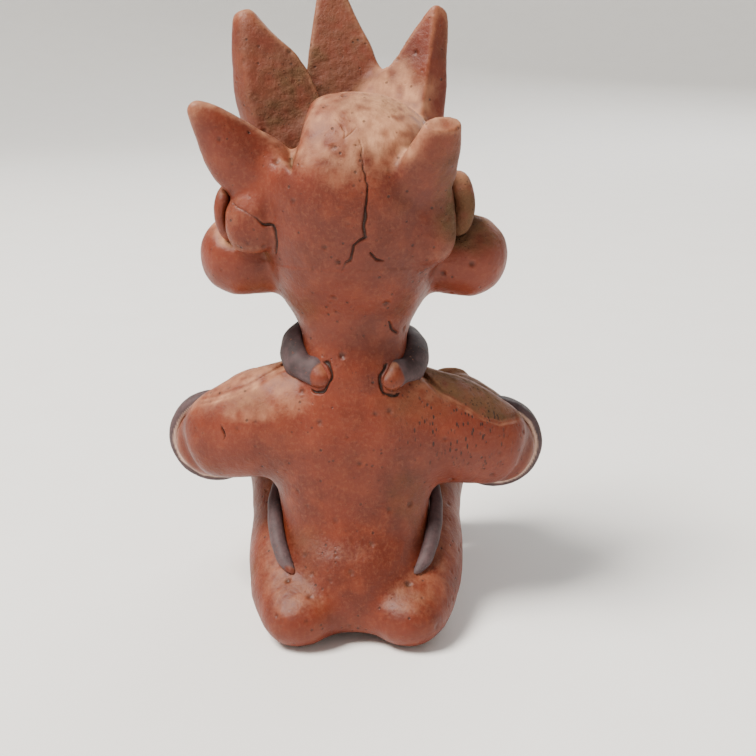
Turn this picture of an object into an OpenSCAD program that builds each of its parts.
// Seated figure of fired clay, hand-modelled, with a crown of five points.
// Every piece is a lump or a roll of clay that is joined to its neighbours while damp.
// The figure faces -Y. The origin is on the ground, under the middle of the whole figure.

/* [Seat and torso] */
// Height of the waist above the ground
waist_z = 27; // [24:1:30]
// Width of the waist
waist_w = 44; // [38:1:48]
// Height of the top of the shoulders
shoulder_z = 78; // [75:1:82]
// Thickness of the chest from front to back
chest_d = 37; // [32:1:40]

/* [Neck and head] */
// Width of the neck
neck_w = 31; // [27:1:34]
// Height of the jaw
jaw_z = 96; // [94:1:98]
// Height of the top of the head, between the points
crown_z = 153; // [150:1:157]
// Width of the head
head_w = 55; // [52:1:60]
// Thickness of the head from face to back
head_d = 56; // [50:1:60]

/* [Crown] */
// Height of the tallest point's tip
tip_z = 189; // [182:1:196]
// Width of a point where it leaves the head
point_root_w = 24; // [20:1:28]
// Width of a point's blunt tip
point_tip_w = 6; // [4:0.5:8]

/* [Ears] */
// Height of the disc ears
ear_h = 19; // [16:1:22]
// Thickness of the disc ears
ear_t = 6; // [4:0.5:8]
// Diameter of the round ear ornaments
ornament_d = 25; // [21:1:28]
// Distance over both ear ornaments
ornament_span = 92; // [86:1:96]

/* [Arms] */
// Distance over both armbands
elbow_span = 116; // [108:1:120]
// Height of the elbows' middle
elbow_z = 53; // [50:1:56]
// Thickness of the upper arm at the elbow
elbow_t = 29; // [25:1:32]
// Thickness of the wrist
wrist_t = 15; // [12:1:18]
// How much lower the right shoulder sits than the left one
shoulder_drop = 2; // [0:0.5:3]

/* [Legs] */
// Distance over both thighs
thigh_span = 67; // [62:1:72]
// Thickness of the thighs
thigh_t = 27; // [23:1:29]
// Height of the knees
knee_z = 53; // [50:1:56]
// Thickness of the shins
shin_t = 19; // [16:1:21]
// Length of the feet
foot_l = 28; // [24:1:32]

/* [Applied rolls] */
// Thickness of the collar
collar_t = 11; // [8:0.5:12]
// Thickness of the belt
belt_t = 5; // [4:0.5:7]
// How far the armbands stand proud of the arm
armband_proud = 3.2; // [2:0.1:4]
// Width of the armbands
armband_w = 7; // [5:0.5:9]

/* [Hidden] */
// The figure is built with its neck on the Z axis, then moved to stand over the origin
stand_y = 14.5;
// The ground cut reaches past the figure on every side
ground_size = 200;

left = 1;
right = -1;

spine_y = 4;
seat_y = 9;
face_y = -25;
valley_x = 16;
valley_front_y = -7.5;
valley_deep = 17;
eye_z = jaw_z + 0.44 * (crown_z - jaw_z);
nose_z = jaw_z + 0.25 * (crown_z - jaw_z);
mouth_z = jaw_z + 0.14 * (crown_z - jaw_z);
ornament_x = (ornament_span - ornament_d) / 2;
ornament_z = jaw_z + 14;
forearm_r = elbow_t / 2 - 3.2;
armband_x = elbow_span / 2 - elbow_t / 2 + 1;
thigh_x = (thigh_span - thigh_t) / 2;
knee_x = thigh_x + 9.5;
ankle_x = knee_x - 4;
knee_y = -38;
toe_y = -66;
collar_z = shoulder_z + 5;
collar_x = neck_w / 2 + 1;

clay = "#b5694a";
pale_clay = "#c98a68";
slip = "#5e4f55";

// A station is [x, y, z, half width, half depth]: the middle of a cross-section and its half sizes.

function held(list, i) = list[max(0, min(len(list) - 1, i))];

function bend(a, b, c, d, t) =
    b + 0.5 * t * (c - a + t * (2 * a - 5 * b + 4 * c - d + t * (3 * (b - c) + d - a)));

// A smooth run of cross-sections through the stations
function smooth(stations, steps) = concat(
    [for (i = [0 : len(stations) - 2], k = [0 : steps - 1])
        bend(held(stations, i - 1), stations[i], stations[i + 1], held(stations, i + 2), k / steps)],
    [held(stations, len(stations))]
);

function middle(s) = [s[0], s[1], s[2]];
function unit(v) = v / norm(v);
function heading(run, i) = unit(middle(held(run, i + 1)) - middle(held(run, i - 1)));

// The rounded end beyond a last cross-section, whose rings shrink as they leave it
dome_angles = [35, 65];
function dome(s, way, length) = [
    for (a = dome_angles)
        concat(middle(s) + way * length * sin(a), [s[3] * cos(a), s[4] * cos(a)])
];
function backwards(list) = [for (i = [len(list) - 1 : -1 : 0]) list[i]];

// One coordinate of an oval whose corners fill out as fullness grows past 2
function oval(c, fullness) = sign(c) * pow(abs(c), 2 / fullness);

// A closed lump of clay through the stations. The half width is measured along `across`,
// and domes gives how far the rounded ends stand out beyond the first and last stations.
module lump(stations, across = [1, 0, 0], domes = [4, 4], fullness = 2, steps = 2, sides = 18) {
    run = smooth(stations, steps);
    last = len(run) - 1;
    start_way = -heading(run, 0);
    end_way = heading(run, last);
    rings = concat(backwards(dome(run[0], start_way, domes[0])), run, dome(run[last], end_way, domes[1]));
    extra = len(dome_angles);
    points = [
        for (r = [0 : len(rings) - 1])
            let (way = heading(run, max(0, min(last, r - extra))),
                 wide = unit(across - (across * way) * way),
                 deep = cross(way, wide))
            for (j = [0 : sides - 1])
                middle(rings[r])
                    + wide * rings[r][3] * oval(cos(360 * j / sides), fullness)
                    + deep * rings[r][4] * oval(sin(360 * j / sides), fullness)
    ];
    start_pole = len(points);
    end_pole = start_pole + 1;
    top = (len(rings) - 1) * sides;
    skin = [
        for (r = [0 : len(rings) - 2], j = [0 : sides - 1])
            let (a = r * sides + j, b = r * sides + (j + 1) % sides)
            each [[a, a + sides, b], [b, a + sides, b + sides]]
    ];
    caps = [
        for (j = [0 : sides - 1])
            let (k = (j + 1) % sides)
            each [[start_pole, j, k], [end_pole, top + k, top + j]]
    ];
    poles = [middle(run[0]) + start_way * domes[0], middle(run[last]) + end_way * domes[1]];
    polyhedron(points = concat(points, poles), faces = concat(skin, caps), convexity = 6);
}

// Cuts the first child back from the others, so that joined pieces meet face to face.
// A resize to zero keeps every size, and it keeps the cut piece as one closed skin.
module fitted() {
    resize([0, 0, 0]) difference() {
        children(0);
        children([1 : $children - 1]);
    }
}

module ground() {
    translate([-ground_size / 2, -ground_size / 2, -ground_size])
        cube(ground_size);
}

module stand() {
    translate([0, stand_y, 0]) children();
}

function on_side(stations, side) = [for (s = stations) [side * s[0], s[1], s[2], s[3], s[4]]];
function lowered(stations, drop) = [for (s = stations) [s[0], s[1], s[2] - drop, s[3], s[4]]];
function drop(side) = side == right ? shoulder_drop : 0;

// ---- Forms, before they are fitted to each other ----

module torso_form() {
    w = waist_w / 2;
    d = chest_d / 2;
    lump([
        [0, seat_y, 4.2, w - 5, d + 3],
        [0, seat_y, 10.5, w - 2, d + 4.5],
        [0, seat_y - 1.5, 19, w - 0.5, d + 3.5],
        [0, spine_y + 1.5, waist_z, w, d + 0.5],
        [0, spine_y, waist_z + 14, w + 1.5, d - 0.5],
        [0, spine_y, shoulder_z - 20, w + 5, d],
        [0, spine_y, shoulder_z - 8, w + 2, d - 2],
        [0, spine_y, shoulder_z, neck_w / 2 + 1, d - 5]
    ], domes = [2, 5], fullness = 2.3, sides = 24);
}

module neck_form() {
    w = neck_w / 2;
    lump([
        [0, spine_y, shoulder_z - 3, w, w - 1.5],
        [0, spine_y - 0.5, shoulder_z + 6, w - 0.5, w - 2],
        [0, spine_y - 2, jaw_z - 5, w + 1, w - 0.8],
        [0, spine_y - 3.5, jaw_z + 3, w + 4, w + 2],
        [0, spine_y - 3, jaw_z + 11, w + 7, w + 4]
    ], domes = [2, 3], fullness = 2.1, sides = 22);
}

// The head before the valley is cut in it
module head_lump() {
    w = head_w / 2;
    d = head_d / 2;
    tall = crown_z - jaw_z;
    lump([
        [0, -5, jaw_z - 1, 0.54 * w, 0.52 * d],
        [0, -4.5, jaw_z + 0.07 * tall, 0.7 * w, 0.66 * d],
        [0, -3, jaw_z + 0.17 * tall, 0.85 * w, 0.77 * d],
        [0, 0, jaw_z + 0.31 * tall, 0.95 * w, 0.92 * d],
        [0, 1.5, jaw_z + 0.49 * tall, w, d],
        [0, 1.5, jaw_z + 0.66 * tall, 0.98 * w, 0.98 * d],
        [0, 0, jaw_z + 0.84 * tall, 0.85 * w, 0.84 * d],
        [0, -2, jaw_z + 0.95 * tall, 0.56 * w, 0.56 * d]
    ], domes = [2.5, 3], fullness = 2.25, sides = 26);
}

// A sharp valley on the left shoulder of the dome, which runs forward to the crown point there
module valley_form() {
    translate([valley_x, valley_front_y, crown_z - valley_deep])
        rotate([90, 0, 0])
            mirror([0, 0, 1])
                linear_extrude(head_d)
                    polygon([[0, 0], [-7, 30], [30, 30.6]]);
}

module head_form() {
    difference() {
        head_lump();
        valley_form();
    }
}

// The five points of the crown: root, belly, neck and blunt tip
module crown_form(root, belly, neck, tip, across, girth = 1) {
    r = girth * point_root_w / 2;
    t = girth * point_tip_w / 2;
    lump([
        concat(root, [r, 0.62 * r]),
        concat(belly, [0.92 * r, 0.55 * r]),
        concat(neck, [0.55 * r, 0.38 * r]),
        concat(tip, [t, 0.8 * t])
    ], across = across, domes = [2, 1], fullness = 1.8, steps = 3, sides = 16);
}

module crown_front_form() {
    crown_form([2, -13, crown_z - 13], [3.5, -19, crown_z + 8],
        [6, -23, tip_z - 13], [7.5, -25, tip_z - 1], [1, 0, 0]);
}

module crown_front_left_form() {
    crown_form([17, -8, crown_z - 14], [24, -12, crown_z + 4],
        [29, -14, crown_z + 15], [32, -15, crown_z + 24], [0.93, -0.37, 0], 1.14);
}

module crown_front_right_form() {
    crown_form([-12, -8, crown_z - 14], [-16.5, -12, crown_z + 5],
        [-21, -14, crown_z + 16], [-25, -15, crown_z + 25], [0.93, 0.37, 0], 1.08);
}

module crown_back_left_form() {
    crown_form([19, 9, crown_z - 25], [31, 12.5, crown_z - 14],
        [38, 15, crown_z - 5.5], [42.5, 16.5, crown_z - 0.5], [0.77, 0, -0.63], 0.87);
}

// The broadest and shortest point, which stands back from the head over a hollow
module crown_back_right_form() {
    r = 0.42 * point_root_w;
    t = 0.75 * point_tip_w;
    lump([
        [-15, 14, crown_z - 29, r, 0.62 * r],
        [-18.5, 20.5, crown_z - 20, 0.92 * r, 0.55 * r],
        [-22, 26.5, crown_z - 10.5, 0.72 * r, 0.4 * r],
        [-24.3, 30, crown_z - 3, t, 0.6 * t]
    ], across = [0.93, 0.37, 0], domes = [2, 1], fullness = 2, steps = 3, sides = 18);
}

// The left lobe stands further out than the right one
module hair_lobe_form(side) {
    stations = side == left ? [
        [23, 11, ornament_z + 18, 9.5, 7.5],
        [26.5, 14, ornament_z + 11, 9.5, 6.5],
        [27, 15, ornament_z + 6, 7.5, 4.5]
    ] : [
        [-18, 13, ornament_z + 18, 8, 7],
        [-20.5, 16, ornament_z + 10, 8, 6.5],
        [-21, 17, ornament_z + 4, 6.5, 5]
    ];
    lump(stations, domes = [3, 3.5], sides = 16);
}

// The left ear stands further out and lower than the right one
module ear_form(side) {
    flare = side == left ? 34 : 22;
    out = side == left ? 5.5 : 1.5;
    low = side == left ? 2 : 0;
    translate([side * (head_w / 2 + out), 7, jaw_z + 29.5 - low])
        rotate([0, 90, -side * flare])
            resize([ear_h, 0.85 * ear_h, 0])
                rotate_extrude($fn = 28)
                    ear_profile();
}

// Half the cross-section of an ear: a thick coin with rounded edges
module ear_profile() {
    edge = ear_t / 2;
    translate([0, -edge])
        square([ear_h / 2 - edge, ear_t]);
    translate([ear_h / 2 - edge, 0])
        intersection() {
            circle(edge, $fn = 16);
            translate([0, -edge]) square([edge, ear_t]);
        }
}

module ornament_form(side) {
    r = ornament_d / 2;
    lump(on_side([
        [13, -1, jaw_z + 11, r - 4.5, r - 3.5],
        [22, -1, jaw_z + 12.5, r - 2.5, r - 1.5],
        [ornament_x, 0, ornament_z, r, r]
    ], side), across = [0, 0, 1], domes = [2, r - 1], sides = 26);
}

module nose_form() {
    lump([
        [0, face_y + 2, eye_z + 5, 2, 2],
        [0, face_y, eye_z, 2.4, 2.8],
        [0, face_y - 1.6, nose_z + 4, 3.4, 3.4],
        [0, face_y - 1.8, nose_z, 4.6, 3.6]
    ], domes = [1.5, 1.6], sides = 16);
}

module eye_form(side) {
    lump([
        [side * 6, face_y + 0.2, eye_z - 1, 1, 1],
        [side * 10.5, face_y + 0.6, eye_z, 2.7, 1.9],
        [side * 15.5, face_y + 3, eye_z - 0.4, 1, 1]
    ], across = [0, 0, 1], domes = [1, 1], sides = 14, steps = 4);
}

module mouth_form() {
    lump([
        [-7, face_y + 3.4, mouth_z, 1, 1],
        [0, face_y + 1.2, mouth_z, 2.5, 2.2],
        [7, face_y + 3.4, mouth_z, 1, 1]
    ], across = [0, 0, 1], domes = [1, 1], sides = 14, steps = 4);
}

module collar_form() {
    r = collar_t / 2;
    ends = 0.64 * r;
    low = shoulder_drop;
    lump([
        [8, spine_y + 12, collar_z - 7.3, ends, ends],
        [collar_x - 1, spine_y + 5.5, collar_z - 3.5, r - 0.4, r - 0.4],
        [collar_x, spine_y - 4, collar_z + 0.5, r, r],
        [collar_x - 5, spine_y - 13.5, collar_z + 1, r, r],
        [0, spine_y - 18.5, collar_z - 1, r, r],
        [5 - collar_x, spine_y - 13.5, collar_z + 1 - low / 2, r, r],
        [-collar_x, spine_y - 4, collar_z + 0.5 - low, r, r],
        [1 - collar_x, spine_y + 5.5, collar_z - 3.5 - low, r - 0.4, r - 0.4],
        [-8.6, spine_y + 12, collar_z - 7.3 - low / 2, ends, ends]
    ], across = [0, 0, 1], domes = [3, 3], sides = 14, steps = 2);
}

module belt_form() {
    r = belt_t / 2;
    w = waist_w / 2;
    half = [
        [w - 5.6, 24.6, waist_z - 9, 0.7 * r, 0.7 * r],
        [w - 1.2, 19.7, waist_z - 4.6, r, r],
        [w + 2.1, 9.8, waist_z + 3.1, r, r],
        [w + 1.3, -2.2, waist_z + 11.6, r, r],
        [w - 8.1, -12.9, waist_z + 16.7, r, r]
    ];
    front = [[0, -14.9, waist_z + 17.6, r, r]];
    lump(concat(half, front, backwards(on_side(half, right))),
        across = [0, 0, 1], domes = [2, 2], sides = 12, steps = 2);
}

module upper_arm_form(side) {
    e = elbow_t / 2;
    lump(lowered(on_side([
        [10, spine_y, elbow_z + 6, e + 1, 13],
        [21, spine_y, elbow_z + 8, e + 3, 14.5],
        [33, spine_y - 1, elbow_z + 5, e + 1.2, 13.5],
        [armband_x, spine_y - 3, elbow_z + 0.2, e - 2, 11]
    ], side), drop(side)), across = [0, 0, 1], domes = [2, e - 8.6], sides = 20);
}

module forearm_form(side) {
    e = forearm_r;
    w = wrist_t / 2;
    lump(lowered(on_side([
        [armband_x - 1, spine_y - 4, elbow_z - 0.8, e, e],
        [armband_x - 1, spine_y - 14, elbow_z - 0.8, e, e],
        [armband_x - 4.6, -21, elbow_z + 1.8, e - 1, e - 1],
        [35, -32, elbow_z + 4.3, w + 1.5, w + 1.5],
        [knee_x + 1.7, -37.8, knee_z + 6.6, w - 0.5, w]
    ], side), drop(side)), across = [0, 0, 1], domes = [4, 3], sides = 18);
}

// A flat strip of clay wrapped round the forearm just past the elbow
module armband_form(side) {
    outer = forearm_r + armband_proud;
    soft = 1.2;
    translate([side * (elbow_span / 2 - outer), spine_y - 12, elbow_z - 1.3 - drop(side)])
        rotate([90, 0, 0])
            rotate_extrude($fn = 32)
                translate([outer / 2, 0])
                    polygon([
                        [-outer / 2 + 2, -armband_w / 2],
                        [outer / 2 - soft, -armband_w / 2],
                        [outer / 2, -armband_w / 2 + soft],
                        [outer / 2, armband_w / 2 - soft],
                        [outer / 2 - soft, armband_w / 2],
                        [-outer / 2 + 2, armband_w / 2]
                    ]);
}

module hand_form(side) {
    w = wrist_t / 2;
    lump(lowered(on_side([
        [knee_x + 2.2, -36.3, knee_z + 6.8, w - 0.5, w - 1.5],
        [knee_x + 0.8, -42.2, knee_z + 4.9, w + 1.5, 4.5],
        [knee_x - 0.3, -48.6, knee_z - 0.8, w + 1.5, 3.8],
        [knee_x - 0.8, -51.6, knee_z - 8, w, 3]
    ], side), 0), domes = [2, 2.5], fullness = 2.4, sides = 18);
}

module thigh_form(side) {
    t = thigh_t / 2;
    lump(on_side([
        [thigh_x - 4.5, 27, t - 5, t - 1.5, t - 4.5],
        [thigh_x - 2, 16, t - 2.5, t - 0.3, t - 2.2],
        [thigh_x, 3, t + 2, t, t],
        [thigh_x + 0.8, -12, t + 10, t - 0.8, t - 0.8],
        [thigh_x + 4.2, -26, t + 19, t - 2, t - 2],
        [knee_x - 0.5, knee_y + 1, knee_z - 11, t - 2.8, t - 2.8]
    ], side), domes = [10.5, 8.5], sides = 20);
}

module shin_form(side) {
    s = shin_t / 2;
    lump(on_side([
        [knee_x - 0.5, knee_y - 1, knee_z - 12, s + 0.8, s + 0.5],
        [knee_x - 2, knee_y - 7, knee_z - 26, s + 0.4, s + 0.2],
        [ankle_x, knee_y - 9, 12, s - 0.8, s - 0.6],
        [ankle_x, knee_y - 8, 2, s - 0.6, s]
    ], side), domes = [7, 6], sides = 18);
}

module foot_form(side) {
    s = shin_t / 2;
    heel_y = toe_y + foot_l;
    lump(on_side([
        [ankle_x, heel_y - 3, 4, s - 1.2, 6.5],
        [ankle_x, heel_y - 10, 4.5, s - 0.4, 6.5],
        [ankle_x - 0.5, heel_y - 18, 3, s + 0.6, 5.5],
        [ankle_x - 1, toe_y + 3.5, 2, s, 4]
    ], side), domes = [3, 3.5], fullness = 2.3, sides = 18);
}

// ---- Pieces, each cut back from those it is joined to ----

module torso() {
    color(clay) stand() torso_form();
}

module neck() {
    color(clay) stand() fitted() {
        neck_form();
        torso_form();
        head_form();
    }
}

module head() {
    color(clay) stand() fitted() {
        head_lump();
        valley_form();
    }
}

module crown_point_front() {
    color(pale_clay) stand() fitted() {
        crown_front_form();
        head_form();
    }
}

module crown_point_front_left() {
    color(pale_clay) stand() fitted() {
        crown_front_left_form();
        head_form();
        crown_front_form();
    }
}

module crown_point_front_right() {
    color(pale_clay) stand() fitted() {
        crown_front_right_form();
        head_form();
        crown_front_form();
    }
}

module crown_point_back_left() {
    color(pale_clay) stand() fitted() {
        crown_back_left_form();
        head_form();
        crown_front_left_form();
    }
}

module crown_point_back_right() {
    color(pale_clay) stand() fitted() {
        crown_back_right_form();
        head_form();
        crown_front_right_form();
    }
}

module hair_lobe(side) {
    color(clay) stand() fitted() {
        hair_lobe_form(side);
        head_form();
        neck_form();
        crown_back_left_form();
        crown_back_right_form();
    }
}

module ear(side) {
    color(pale_clay) stand() fitted() {
        ear_form(side);
        head_form();
        crown_back_left_form();
        hair_lobe_form(side);
    }
}

module ear_ornament(side) {
    color(clay) stand() fitted() {
        ornament_form(side);
        head_form();
        neck_form();
        ear_form(side);
        hair_lobe_form(side);
    }
}

module nose() {
    color(clay) stand() fitted() {
        nose_form();
        head_form();
    }
}

module eye(side) {
    color(pale_clay) stand() fitted() {
        eye_form(side);
        head_form();
        nose_form();
    }
}

module mouth() {
    color(pale_clay) stand() fitted() {
        mouth_form();
        head_form();
    }
}

module collar() {
    color(slip) stand() fitted() {
        collar_form();
        torso_form();
        neck_form();
        head_form();
    }
}

module belt() {
    color(slip) stand() fitted() {
        belt_form();
        torso_form();
        thigh_form(left);
        thigh_form(right);
    }
}

module upper_arm(side) {
    color(clay) stand() fitted() {
        upper_arm_form(side);
        torso_form();
        neck_form();
        collar_form();
    }
}

module forearm(side) {
    color(clay) stand() fitted() {
        forearm_form(side);
        upper_arm_form(side);
        thigh_form(side);
    }
}

module armband(side) {
    color(slip) stand() fitted() {
        armband_form(side);
        forearm_form(side);
        upper_arm_form(side);
        torso_form();
    }
}

module hand(side) {
    color(clay) stand() fitted() {
        hand_form(side);
        forearm_form(side);
        thigh_form(side);
        shin_form(side);
    }
}

module thigh(side) {
    color(clay) stand() fitted() {
        thigh_form(side);
        torso_form();
        ground();
    }
}

module shin(side) {
    color(clay) stand() fitted() {
        shin_form(side);
        thigh_form(side);
        ground();
    }
}

module foot(side) {
    color(clay) stand() fitted() {
        foot_form(side);
        shin_form(side);
        ground();
    }
}

torso();
neck();
head();
crown_point_front();
crown_point_front_left();
crown_point_front_right();
crown_point_back_left();
crown_point_back_right();
hair_lobe(left);  // hair_lobe_left
hair_lobe(right);  // hair_lobe_right
ear(left);  // ear_left
ear(right);  // ear_right
ear_ornament(left);  // ear_ornament_left
ear_ornament(right);  // ear_ornament_right
nose();
eye(left);  // eye_left
eye(right);  // eye_right
mouth();
collar();
belt();
upper_arm(left);  // upper_arm_left
upper_arm(right);  // upper_arm_right
forearm(left);  // forearm_left
forearm(right);  // forearm_right
armband(left);  // armband_left
armband(right);  // armband_right
hand(left);  // hand_left
hand(right);  // hand_right
thigh(left);  // thigh_left
thigh(right);  // thigh_right
shin(left);  // shin_left
shin(right);  // shin_right
foot(left);  // foot_left
foot(right);  // foot_right
